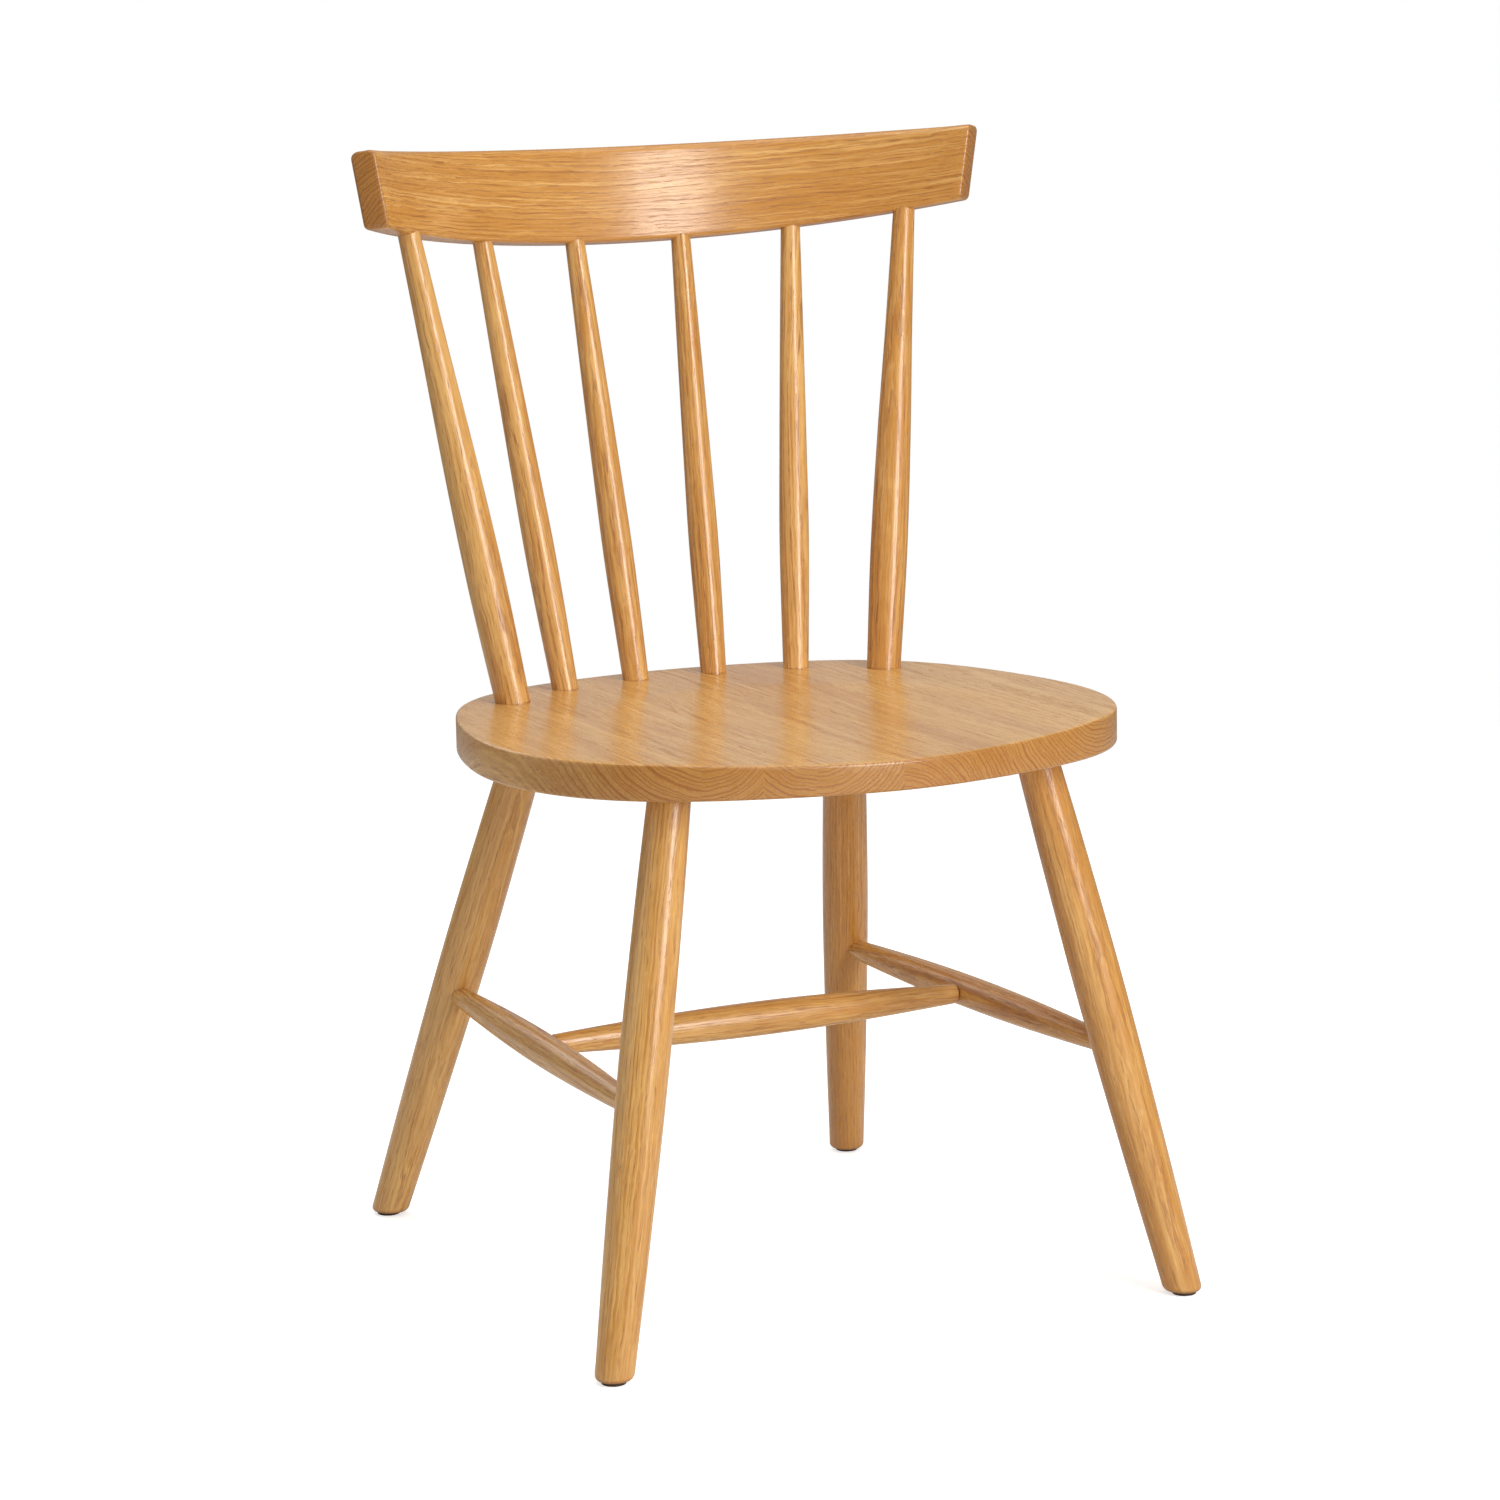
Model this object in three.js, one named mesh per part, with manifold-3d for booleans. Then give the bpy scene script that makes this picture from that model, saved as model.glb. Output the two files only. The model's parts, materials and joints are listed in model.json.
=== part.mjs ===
// A solid wood dining chair with a spindle back. A dished seat of four glued boards carries four
// splayed, turned legs below and, above it, two posts and four spindles that hold a bent crest rail.
// Two side stretchers and one cross stretcher tie the legs together in an H.
// Millimetres, +Z up. The origin is on the floor, below the middle of the chair. The front of the
// seat faces -Y, and left is the -X side. Every joint is a round tenon in a blind hole.
import * as THREE from 'three';
import { mergeVertices } from 'three/addons/utils/BufferGeometryUtils.js';
import Module from 'manifold-3d';

const wasm = await Module();
wasm.setup();

// ---------- driving dimensions ----------
const GAP = 0.3; // clearance between any two pieces
const SIDES = 16; // facets round a turned piece
const STATIONS = 10; // steps along a turned piece
const RUN = 25; // how far a tenon starts inside its own piece, and a cutter outside the wood

const SEAT = {
  top: 450,
  thickness: 28,
  eased: 3, // rounding of both long edges
  seams: [-112, -7, 90], // where the boards are glued together
  // right half of the outline, from the middle of the front to the middle of the back
  halfOutline: [
    [0, -279.8], [116.7, -258.4], [197.3, -217.1], [242.7, -150], [253.5, -61.3],
    [227, 49.5], [182.4, 119], [110.2, 157.6], [0, 172.9],
  ],
  dish: { y: -195, halfWidth: 182, halfDepth: 262, depth: 5 },
};

const LEG = {
  topLevel: 422, // level at which the top ends of the axes are given: the seat's underside
  front: { foot: [241.2, -257.3], top: [153.3, -185.6] },
  back: { foot: [212.1, 266.3], top: [138.5, 110.3] },
  // diameter against the height, from the foot up
  diameters: [[0, 29], [105, 34.2], [230, 37.9], [340, 36], [422, 32.4]],
  tenon: { diameter: 25, length: 19 },
  footChamfer: 4.5,
};

const GLIDE = { diameter: 18.6, thickness: 2.5, easedEdge: 0.5, nailDiameter: 4, nailLength: 12 };

// The back pieces lean: each runs from a point on the seat to one under the crest rail.
const POST = {
  foot: [163.3, 86.8],
  head: [216.4, 143.7, 815.1],
  diameters: [[0, 27.4], [0.25, 30], [0.5, 27.4], [0.75, 21.9], [1, 17.5]],
  tenons: { foot: 17, head: 12 },
};
const SPINDLE = {
  feet: [[102.2, 124.4], [34.5, 137.9]],
  heads: [[135.8, 189.9, 802.7], [46.8, 211, 796.7]],
  diameters: [[0, 20.8], [0.28, 24], [0.5, 22.3], [0.75, 19.3], [1, 15.7]],
  tenons: { foot: 14, head: 11 },
};
const BACK_TENON = { foot: 16, head: 17 }; // how deep the back pieces go into the seat and the rail
const HEAD_ENTRY = 6; // how far a back piece's full width would run on into the rail, before its cut

const SIDE_STRETCHER = {
  back: [177.8, 193.5, 197.5],
  front: [201, -224.5, 193.2],
  endDiameter: 14.5,
  midDiameter: 25.8,
  tenonDepth: 9, // beyond the leg's axis, less than the leg's radius
};
const CROSS_STRETCHER = {
  along: 0.48, // where it meets the side stretchers, as a part of their length from the back
  endDiameter: 14,
  midDiameter: 27.3,
  tenon: { diameter: 9, pastAxis: 6 },
};

const CREST = {
  frontRadius: 344.3, // radius of the hollow front face, seen from above
  thickness: 21.5,
  endHeight: 58.1,
  crown: 11.4, // how far the top edge rises in the middle
  bow: 7.8, // how far the bottom edge hangs down in the middle
  halfLength: 284.3, // along the front face
  endSlant: 7.2, // the top corners stand out, and the bottom corners in, by this
  tilt: 11.4, // degrees that the rail leans back
  centre: [213.8, 832.7], // y and z of the middle of the front face
  cornerRadius: 3.5,
  endRounding: 2, // kept under the corner radius
  steps: 24,
};

// ---------- materials ----------
const oak = (tone) => new THREE.MeshStandardMaterial({ color: tone, roughness: 0.4, metalness: 0 });
const OAK_TONES = [0xc8924f, 0xcf9a57, 0xc48d4a, 0xcc9653];
const plastic = (tone) => new THREE.MeshStandardMaterial({ color: tone, roughness: 0.6, metalness: 0 });
const GLIDE_BROWN = 0x3a2f26;

// ---------- helpers ----------
const point = (x, y, z) => new THREE.Vector3(x, y, z);

/** A closed geometry as a manifold solid. */
function solidOf(geometry) {
  const bare = geometry.clone();
  bare.deleteAttribute('normal');
  bare.deleteAttribute('uv');
  const merged = mergeVertices(bare, 1e-4);
  return new wasm.Manifold(new wasm.Mesh({
    numProp: 3,
    vertProperties: new Float32Array(merged.attributes.position.array),
    triVerts: new Uint32Array(merged.index.array),
  }));
}

/** A manifold solid as a geometry again. */
function geometryOf(solid) {
  const mesh = solid.getMesh();
  const geometry = new THREE.BufferGeometry();
  geometry.setAttribute('position', new THREE.Float32BufferAttribute(mesh.vertProperties, 3));
  geometry.setIndex(new THREE.BufferAttribute(mesh.triVerts, 1));
  geometry.computeVertexNormals();
  return geometry;
}

/** The placement of a turned piece: its own +Y axis runs from `start` towards `end`. */
function alongAxis(start, end) {
  const direction = end.clone().sub(start).normalize();
  const turn = new THREE.Quaternion().setFromUnitVectors(point(0, 1, 0), direction);
  return new THREE.Matrix4().compose(start, turn, point(1, 1, 1));
}

/** A round solid about +Y: `profile` lists [distance along the axis, diameter]. */
function turned(profile, sides = SIDES) {
  const outline = profile.map(([s, d]) => new THREE.Vector2(d / 2, s));
  outline.unshift(new THREE.Vector2(0, profile[0][0]));
  outline.push(new THREE.Vector2(0, profile[profile.length - 1][0]));
  return new THREE.LatheGeometry(outline, sides);
}

/** A smooth profile through a few [distance, diameter] pairs. */
function smoothProfile(pairs) {
  const curve = new THREE.SplineCurve(pairs.map(([s, d]) => new THREE.Vector2(s, d)));
  return curve.getPoints(STATIONS).map((p) => [p.x, p.y]);
}

/** A plain round bar about the axis from `start` to `end`, between two distances along it. */
function bar(start, end, from, to, diameter) {
  const placed = turned([[from, diameter], [to, diameter]]).applyMatrix4(alongAxis(start, end));
  return solidOf(placed);
}

/** A box solid between two corners. */
function block(low, high) {
  const size = high.clone().sub(low);
  const box = new THREE.BoxGeometry(size.x, size.y, size.z);
  box.translate(low.x + size.x / 2, low.y + size.y / 2, low.z + size.z / 2);
  return solidOf(box);
}

const REACH = 500; // larger than the chair, for blocks that cut away everything on one side
const everythingAbove = (level) => block(point(-REACH, -REACH, level), point(REACH, REACH, level + REACH));
const everythingBelow = (level) => block(point(-REACH, -REACH, level - REACH), point(REACH, REACH, level));

const chair = new THREE.Group();

/** Adds a piece. Its geometry is kept in its own frame, which `placement` puts in the chair's. */
function addPiece(name, solid, material, placement = new THREE.Matrix4()) {
  const geometry = geometryOf(solid);
  geometry.applyMatrix4(placement.clone().invert());
  const mesh = new THREE.Mesh(geometry, material);
  mesh.name = name;
  mesh.applyMatrix4(placement);
  chair.add(mesh);
}

// ---------- where the axes run ----------
const SIDES_OF_CHAIR = [['left', -1], ['right', 1]];
const seatUnderside = SEAT.top - SEAT.thickness;

const legAxes = [];
for (const [end, leg] of [['front', LEG.front], ['back', LEG.back]]) {
  for (const [side, sign] of SIDES_OF_CHAIR) {
    const foot = point(sign * leg.foot[0], leg.foot[1], 0);
    const top = point(sign * leg.top[0], leg.top[1], LEG.topLevel);
    legAxes.push({ end, side, sign, foot, top });
  }
}

const backPieces = [];
for (const [side, sign] of SIDES_OF_CHAIR) {
  const foot = point(sign * POST.foot[0], POST.foot[1], SEAT.top);
  const head = point(sign * POST.head[0], POST.head[1], POST.head[2]);
  backPieces.push({ name: `back_post_${side}`, foot, head, form: POST });
}
[[-1, 0], [-1, 1], [1, 1], [1, 0]].forEach(([sign, row], i) => {
  const [footX, footY] = SPINDLE.feet[row];
  const [headX, headY, headZ] = SPINDLE.heads[row];
  const foot = point(sign * footX, footY, SEAT.top);
  const head = point(sign * headX, headY, headZ);
  backPieces.push({ name: `back_spindle_${i + 1}`, foot, head, form: SPINDLE });
});

const sideStretchers = SIDES_OF_CHAIR.map(([side, sign]) => {
  const back = point(sign * SIDE_STRETCHER.back[0], SIDE_STRETCHER.back[1], SIDE_STRETCHER.back[2]);
  const front = point(sign * SIDE_STRETCHER.front[0], SIDE_STRETCHER.front[1], SIDE_STRETCHER.front[2]);
  return { side, back, front, crossing: back.clone().lerp(front, CROSS_STRETCHER.along) };
});

// ---------- turned shapes without their cuts ----------
/** The leg's full turning, from under the floor to inside the seat; `extra` fattens it. */
function legTurning({ foot, top }, extra = 0) {
  const slope = foot.distanceTo(top) / LEG.topLevel;
  const profile = smoothProfile(LEG.diameters.map(([h, d]) => [h * slope, d + extra]));
  profile.unshift([-RUN, profile[0][1]]);
  const [end, endDiameter] = profile[profile.length - 1];
  profile.push([end + RUN, endDiameter]);
  return solidOf(turned(profile).applyMatrix4(alongAxis(foot, top)));
}

/** A barrel-shaped bar that is `ends` across at both ends and `middle` across half-way. */
function barrel(length, ends, middle, extra = 0) {
  const profile = [];
  for (let i = 0; i <= STATIONS; i += 1) {
    const part = i / STATIONS;
    profile.push([part * length, ends + (middle - ends) * Math.sin(Math.PI * part) + extra]);
  }
  return turned(profile);
}

function sideStretcherTurning({ back, front }, extra = 0) {
  const { endDiameter, midDiameter } = SIDE_STRETCHER;
  const shape = barrel(back.distanceTo(front), endDiameter, midDiameter, extra);
  return solidOf(shape.applyMatrix4(alongAxis(back, front)));
}

/** The crest rail's section is pushed along its length, then bent round, crowned and tilted. */
function crestRail(drop = 0) {
  const { thickness, endHeight, cornerRadius: r, endRounding, halfLength, steps } = CREST;
  const half = endHeight / 2;
  const section = new THREE.Shape();
  section.absarc(thickness - r, half - r, r, 0, Math.PI / 2);
  section.absarc(r, half - r, r, Math.PI / 2, Math.PI);
  section.absarc(r, r - half, r, Math.PI, Math.PI * 1.5);
  section.absarc(thickness - r, r - half, r, Math.PI * 1.5, Math.PI * 2);
  const geometry = new THREE.ExtrudeGeometry(section, {
    depth: 2 * (halfLength - endRounding), steps, curveSegments: 1,
    bevelSize: endRounding, bevelThickness: endRounding, bevelOffset: -endRounding, bevelSegments: 2,
  });
  const position = geometry.attributes.position;
  const tilt = THREE.MathUtils.degToRad(CREST.tilt);
  for (let i = 0; i < position.count; i += 1) {
    const depth = position.getX(i); // from the front face towards the back
    const level = position.getY(i); // from the middle line upwards
    const along = position.getZ(i) + endRounding - halfLength; // from the middle towards the right end
    const inward = Math.max(0, 1 - (along / halfLength) ** 2);
    const height = level > 0 ? level + CREST.crown * inward : level - CREST.bow * inward - drop;
    const angle = (along * (1 + (CREST.endSlant / halfLength) * (level / half))) / CREST.frontRadius;
    const radius = CREST.frontRadius + depth;
    const forward = radius * Math.cos(angle) - CREST.frontRadius;
    position.setXYZ(
      i,
      radius * Math.sin(angle),
      CREST.centre[0] + forward * Math.cos(tilt) + height * Math.sin(tilt),
      CREST.centre[1] - forward * Math.sin(tilt) + height * Math.cos(tilt),
    );
  }
  return solidOf(geometry);
}

// ---------- seat boards ----------
function seatBlank() {
  const right = SEAT.halfOutline;
  const left = right.slice(1, -1).reverse().map(([x, y]) => [-x, y]);
  const through = [...right, ...left].map(([x, y]) => point(x, y, 0));
  const edge = new THREE.CatmullRomCurve3(through, true, 'catmullrom', 0.5);
  const outline = new THREE.Shape(edge.getPoints(64).slice(0, -1).map((p) => new THREE.Vector2(p.x, p.y)));
  const blank = new THREE.ExtrudeGeometry(outline, {
    depth: SEAT.thickness - 2 * SEAT.eased,
    bevelSize: SEAT.eased, bevelThickness: SEAT.eased, bevelOffset: -SEAT.eased, bevelSegments: 1,
  });
  blank.translate(0, 0, seatUnderside + SEAT.eased);
  return solidOf(blank);
}

/** A shallow bowl, level with the seat's top at its rim, that runs out over the front edge. */
function dishCutter() {
  const { y, halfWidth, halfDepth, depth } = SEAT.dish;
  const rings = 5;
  const profile = [];
  for (let i = 0; i <= rings; i += 1) {
    const part = i / rings;
    profile.push(new THREE.Vector2(part, -depth * (1 - part * part)));
  }
  profile.push(new THREE.Vector2(1, depth), new THREE.Vector2(0, depth));
  const bowl = new THREE.LatheGeometry(profile, 32);
  bowl.rotateX(Math.PI / 2);
  bowl.scale(halfWidth, halfDepth, 1);
  bowl.translate(0, y, SEAT.top);
  return solidOf(bowl);
}

let seat = seatBlank().subtract(dishCutter());
for (const { foot, top } of legAxes) {
  const start = foot.distanceTo(top);
  const { diameter, length } = LEG.tenon;
  seat = seat.subtract(bar(foot, top, start - RUN, start + length + GAP, diameter + 2 * GAP));
}
for (const { foot, head, form } of backPieces) {
  seat = seat.subtract(bar(foot, head, -BACK_TENON.foot - GAP, RUN, form.tenons.foot + 2 * GAP));
}
const seatEdges = [-REACH, ...SEAT.seams, REACH];
for (let i = 0; i + 1 < seatEdges.length; i += 1) {
  const low = point(seatEdges[i] + GAP / 2, -REACH, 0);
  const high = point(seatEdges[i + 1] - GAP / 2, REACH, REACH);
  addPiece(`seat_board_${i + 1}`, seat.intersect(block(low, high)), oak(OAK_TONES[i]));
}

// ---------- legs and their glides ----------
/** A cone that takes the sharp edge off a foot where it stands. */
function footChamferKeeper({ foot, top }) {
  const { footChamfer, diameters } = LEG;
  const shift = foot.clone().lerp(top, footChamfer / LEG.topLevel);
  const narrow = diameters[0][1] - 2 * footChamfer;
  const keeper = turned([[GLIDE.thickness, narrow], [REACH, narrow + 2 * (REACH - GLIDE.thickness)]]);
  keeper.rotateX(Math.PI / 2);
  keeper.translate((foot.x + shift.x) / 2, (foot.y + shift.y) / 2, 0);
  return solidOf(keeper);
}

for (const axis of legAxes) {
  const { foot, top, end, side } = axis;
  const placement = alongAxis(foot, top);
  const length = foot.distanceTo(top);
  let leg = legTurning(axis).subtract(everythingBelow(GLIDE.thickness + GAP));
  leg = leg.subtract(everythingAbove(seatUnderside - GAP));
  leg = leg.intersect(footChamferKeeper(axis));
  leg = leg.add(bar(foot, top, length - RUN, length + LEG.tenon.length, LEG.tenon.diameter));
  for (const stretcher of sideStretchers.filter((s) => s.side === side)) {
    const near = stretcher[end];
    const far = stretcher[end === 'back' ? 'front' : 'back'];
    const bore = SIDE_STRETCHER.endDiameter + 2 * GAP;
    leg = leg.subtract(bar(near, far, -SIDE_STRETCHER.tenonDepth - GAP, 2 * RUN, bore));
  }
  const nailTop = GLIDE.thickness + GLIDE.nailLength;
  const above = foot.clone().setZ(REACH);
  leg = leg.subtract(bar(foot, above, -RUN, nailTop + GAP, GLIDE.nailDiameter + 2 * GAP));
  addPiece(`${end}_${side}_leg`, leg, oak(OAK_TONES[end === 'front' ? 1 : 2]), placement);

  const rim = GLIDE.diameter - 2 * GLIDE.easedEdge;
  const disc = turned([[0, rim], [GLIDE.easedEdge, GLIDE.diameter], [GLIDE.thickness, GLIDE.diameter]]);
  disc.applyMatrix4(alongAxis(foot, above));
  const glide = solidOf(disc).add(bar(foot, above, GLIDE.easedEdge, nailTop, GLIDE.nailDiameter));
  addPiece(`${end}_${side}_glide`, glide, plastic(GLIDE_BROWN), alongAxis(foot, above));
}

// ---------- stretchers ----------
const crossLine = { left: sideStretchers[0].crossing, right: sideStretchers[1].crossing };
const crossLength = crossLine.left.distanceTo(crossLine.right);

/** The tenons at the cross stretcher's two ends or, with a gap round them, their blind holes. */
function crossTenons(gap) {
  const { diameter, pastAxis } = CROSS_STRETCHER.tenon;
  const width = diameter + 2 * gap;
  const left = bar(crossLine.left, crossLine.right, -pastAxis - gap, RUN, width);
  return left.add(bar(crossLine.right, crossLine.left, -pastAxis - gap, RUN, width));
}

for (const stretcher of sideStretchers) {
  const { side, back, front } = stretcher;
  let piece = sideStretcherTurning(stretcher);
  for (const axis of legAxes.filter((a) => a.side === side)) {
    piece = piece.subtract(legTurning(axis, 2 * GAP));
  }
  const { tenonDepth, endDiameter } = SIDE_STRETCHER;
  piece = piece.add(bar(back, front, -tenonDepth, RUN, endDiameter));
  piece = piece.add(bar(front, back, -tenonDepth, RUN, endDiameter));
  piece = piece.subtract(crossTenons(GAP));
  addPiece(`${side}_side_stretcher`, piece, oak(OAK_TONES[0]), alongAxis(back, front));
}

const shoulder = SIDE_STRETCHER.midDiameter / 2 + GAP;
const crossBarrel = barrel(crossLength, CROSS_STRETCHER.endDiameter, CROSS_STRETCHER.midDiameter);
crossBarrel.applyMatrix4(alongAxis(crossLine.left, crossLine.right));
const betweenShoulders = block(
  point(crossLine.left.x + shoulder, -REACH, 0),
  point(crossLine.right.x - shoulder, REACH, REACH),
);
const cross = solidOf(crossBarrel).intersect(betweenShoulders).add(crossTenons(0));
addPiece('cross_stretcher', cross, oak(OAK_TONES[3]), alongAxis(crossLine.left, crossLine.right));

// ---------- posts and spindles ----------
const railEnvelope = crestRail(GAP);
for (const { name, foot, head, form } of backPieces) {
  const length = foot.distanceTo(head);
  const profile = smoothProfile(form.diameters.map(([part, d]) => [part * length, d]));
  profile.unshift([-RUN, profile[0][1]]);
  profile.push([length + HEAD_ENTRY, profile[profile.length - 1][1]]);
  let piece = solidOf(turned(profile).applyMatrix4(alongAxis(foot, head)));
  piece = piece.subtract(everythingBelow(SEAT.top + GAP)).subtract(railEnvelope);
  piece = piece.add(bar(foot, head, -BACK_TENON.foot, RUN, form.tenons.foot));
  piece = piece.add(bar(foot, head, length - RUN, length + BACK_TENON.head, form.tenons.head));
  addPiece(name, piece, oak(OAK_TONES[form === POST ? 2 : 1]), alongAxis(foot, head));
}

// ---------- crest rail ----------
let rail = crestRail();
for (const { foot, head, form } of backPieces) {
  const length = foot.distanceTo(head);
  const depth = length + BACK_TENON.head + GAP;
  rail = rail.subtract(bar(foot, head, length - RUN, depth, form.tenons.head + 2 * GAP));
}
addPiece('crest_rail', rail, oak(OAK_TONES[1]));

export default chair;
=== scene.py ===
"""A spindle-back dining chair in solid oak, turned, bent and dished piece by piece."""

import json
import math
import random

import bpy
from bpy.props import FloatProperty, FloatVectorProperty, PointerProperty
from mathutils import Matrix, Vector


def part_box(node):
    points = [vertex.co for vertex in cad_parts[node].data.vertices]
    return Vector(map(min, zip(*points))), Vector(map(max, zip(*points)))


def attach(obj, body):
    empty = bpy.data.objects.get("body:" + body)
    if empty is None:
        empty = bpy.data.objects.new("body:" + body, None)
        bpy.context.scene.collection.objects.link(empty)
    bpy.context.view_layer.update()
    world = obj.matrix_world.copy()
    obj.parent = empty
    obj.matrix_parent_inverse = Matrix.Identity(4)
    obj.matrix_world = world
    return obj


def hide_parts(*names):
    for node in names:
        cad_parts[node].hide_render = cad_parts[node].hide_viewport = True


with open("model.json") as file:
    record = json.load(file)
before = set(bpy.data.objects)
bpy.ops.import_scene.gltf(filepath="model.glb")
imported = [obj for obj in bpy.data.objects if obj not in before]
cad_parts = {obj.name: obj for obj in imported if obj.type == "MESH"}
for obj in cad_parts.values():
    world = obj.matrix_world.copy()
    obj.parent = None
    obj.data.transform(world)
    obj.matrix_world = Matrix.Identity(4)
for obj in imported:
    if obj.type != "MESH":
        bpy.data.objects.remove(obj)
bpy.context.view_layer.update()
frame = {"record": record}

bl_info = {
    "name": "Spindle-back oak chair",
    "version": (1, 0, 0),
    "blender": (4, 5, 0),
    "location": "3D View > Sidebar > Chair",
    "description": "Makes the pieces of an oak dining chair and a plain studio round them",
    "category": "Add Mesh",
}

BODY = "root"
ENDS = ("front", "back")
SIDES = (("left", -1), ("right", 1))
BOARDS = 4
# places that are nearer to each other than this count as the same
CLOSE = 1e-5


# ---------------------------------------------------------------- sizes and colours


def measure(name, description, default):
    """A length, or a few of them side by side."""
    settings = {"name": name, "description": description, "unit": "LENGTH", "default": default}
    if isinstance(default, (int, float)):
        return FloatProperty(**settings)
    return FloatVectorProperty(size=len(default), **settings)


def tint(name, description, default):
    """A colour."""
    return FloatVectorProperty(
        name=name, description=description, subtype="COLOR", size=3, min=0, max=1, default=default
    )


def glue_line(i):
    """Where board number i of the seat meets the next one."""
    return (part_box(f"seat_board_{i}")[1].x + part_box(f"seat_board_{i + 1}")[0].x) / 2


class SeatSizes(bpy.types.PropertyGroup):
    """The seat: four boards, dished and eased."""

    underside: measure("Underside", "Height of the seat's underside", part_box("seat_board_2")[0].z)
    thickness: measure("Thickness", "Thickness of the boards away from the dish", 0.028)
    easing: measure("Easing", "Rounding of the long edges", 0.0025)
    dish_depth: measure("Dish depth", "Depth of the hollow for the sitter", 0.005)
    dish_reach: measure("Dish reach", "How far the hollow spreads to each side", 0.182)
    seams: measure(
        "Glue lines", "Where the boards meet, from left to right",
        [glue_line(i) for i in range(1, BOARDS)],
    )


class LegSizes(bpy.types.PropertyGroup):
    """The legs: a slow swelling, widest at half their height."""

    front_top: measure(
        "Front leg's top", "Where the right front leg meets the seat", (0.1533, -0.1856)
    )
    back_top: measure("Back leg's top", "Where the right back leg meets the seat", (0.1385, 0.1103))
    heights: measure(
        "Heights", "Heights at which the diameters hold", (0, 0.105, 0.230, 0.340, 0.422)
    )
    diameters: measure(
        "Diameters", "Diameters at those heights", (0.029, 0.0342, 0.0379, 0.036, 0.0324)
    )
    rounding: measure("Foot rounding", "Rounding under the foot", 0.0045)
    tenon: measure("Tenon", "Diameter and length of the tenon", (0.025, 0.019))


class GlideSizes(bpy.types.PropertyGroup):
    """The glides that keep the feet off the floor."""

    diameter: measure("Diameter", "Width of a glide", 0.0186)
    thickness: measure("Thickness", "How far it holds the foot up", 0.0025)


class BackSizes(bpy.types.PropertyGroup):
    """The posts and spindles between the seat and the crest rail."""

    post_foot: measure("Post's foot", "Where the right post stands on the seat", (0.1633, 0.0868))
    post_head: measure(
        "Post's head", "Where the right post meets the rail", (0.2164, 0.1437, 0.8151)
    )
    outer_foot: measure("Outer spindle's foot", "Foot of the right outer spindle", (0.1022, 0.1244))
    outer_head: measure(
        "Outer spindle's head", "Head of the right outer spindle", (0.1358, 0.1899, 0.8027)
    )
    inner_foot: measure("Inner spindle's foot", "Foot of the right inner spindle", (0.0345, 0.1379))
    inner_head: measure(
        "Inner spindle's head", "Head of the right inner spindle", (0.0468, 0.211, 0.7967)
    )
    parts: FloatVectorProperty(
        name="Post stations", description="Parts of a post's length at which its diameters hold",
        size=5, default=(0, 0.25, 0.5, 0.75, 1),
    )
    post_diameters: measure(
        "Post diameters", "Diameters of a post there", (0.0274, 0.030, 0.0274, 0.0219, 0.0175)
    )
    spindle_parts: FloatVectorProperty(
        name="Spindle stations", description="Parts of a spindle's length for its diameters",
        size=5, default=(0, 0.28, 0.5, 0.75, 1),
    )
    spindle_diameters: measure(
        "Spindle diameters", "Diameters of a spindle there", (0.0208, 0.024, 0.0223, 0.0193, 0.0157)
    )


class StretcherSizes(bpy.types.PropertyGroup):
    """The H of stretchers that ties the legs together."""

    back_end: measure(
        "Back end", "Where the right side stretcher meets the back leg's axis",
        (0.1778, 0.1935, 0.1975),
    )
    front_end: measure("Front end", "Where it meets the front leg's axis", (0.201, -0.2245, 0.1932))
    side_diameters: measure("Side diameters", "At the ends and half-way", (0.0145, 0.0258))
    cross_place: FloatProperty(
        name="Crossing", description="Where the cross stretcher meets the side ones, from the back",
        subtype="FACTOR", default=0.48, min=0, max=1,
    )
    cross_diameters: measure("Cross diameters", "At the ends and half-way", (0.014, 0.0273))


class RailSizes(bpy.types.PropertyGroup):
    """The bent crest rail."""

    front_radius: measure("Bend radius", "Radius of the hollow front face", 0.3443)
    thickness: measure("Thickness", "From the front face to the back", 0.0215)
    end_height: measure("End height", "Height of the rail at its ends", 0.0581)
    crown: measure("Crown", "How far the top edge rises in the middle", 0.0114)
    bow: measure("Bow", "How far the bottom edge hangs down in the middle", 0.0078)
    half_length: measure("Half length", "From the middle to an end, along the front face", 0.2843)
    end_slant: measure("End slant", "How far a top corner stands out past mid-height", 0.0072)
    tilt: FloatProperty(
        name="Tilt", description="How far the rail leans back", subtype="ANGLE",
        default=math.radians(11.4),
    )
    centre: measure("Centre", "Depth and height of the middle of the front face", (0.2138, 0.8327))
    rounding: measure("Rounding", "Rounding of the long top edges", 0.006)
    low_rounding: measure("Low rounding", "Rounding of the long bottom edges", 0.004)
    end_rounding: measure("End rounding", "Rounding round the sawn ends", 0.0034)


class OakFinish(bpy.types.PropertyGroup):
    """Honey-coloured oak under a satin lacquer."""

    pale: tint("Pale wood", "The lightest wood", (0.82, 0.50, 0.18))
    honey: tint("Honey", "The common tone", (0.70, 0.365, 0.094))
    late: tint("Late wood", "The denser, darker part of a ring", (0.50, 0.205, 0.037))
    dark: tint("Dark streaks", "The streaks of large pores", (0.34, 0.115, 0.02))
    end: tint("End grain", "Wood that is cut square to its fibres", (0.35, 0.14, 0.022))
    pore: tint("Pores", "The open pores", (0.26, 0.085, 0.016))
    ring_width: measure("Ring width", "Growth of the tree in a year", 0.0032)
    lacquer_roughness: FloatProperty(
        name="Lacquer roughness", description="Satin sheen of the lacquer", subtype="FACTOR",
        default=0.25, min=0, max=1,
    )


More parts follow.
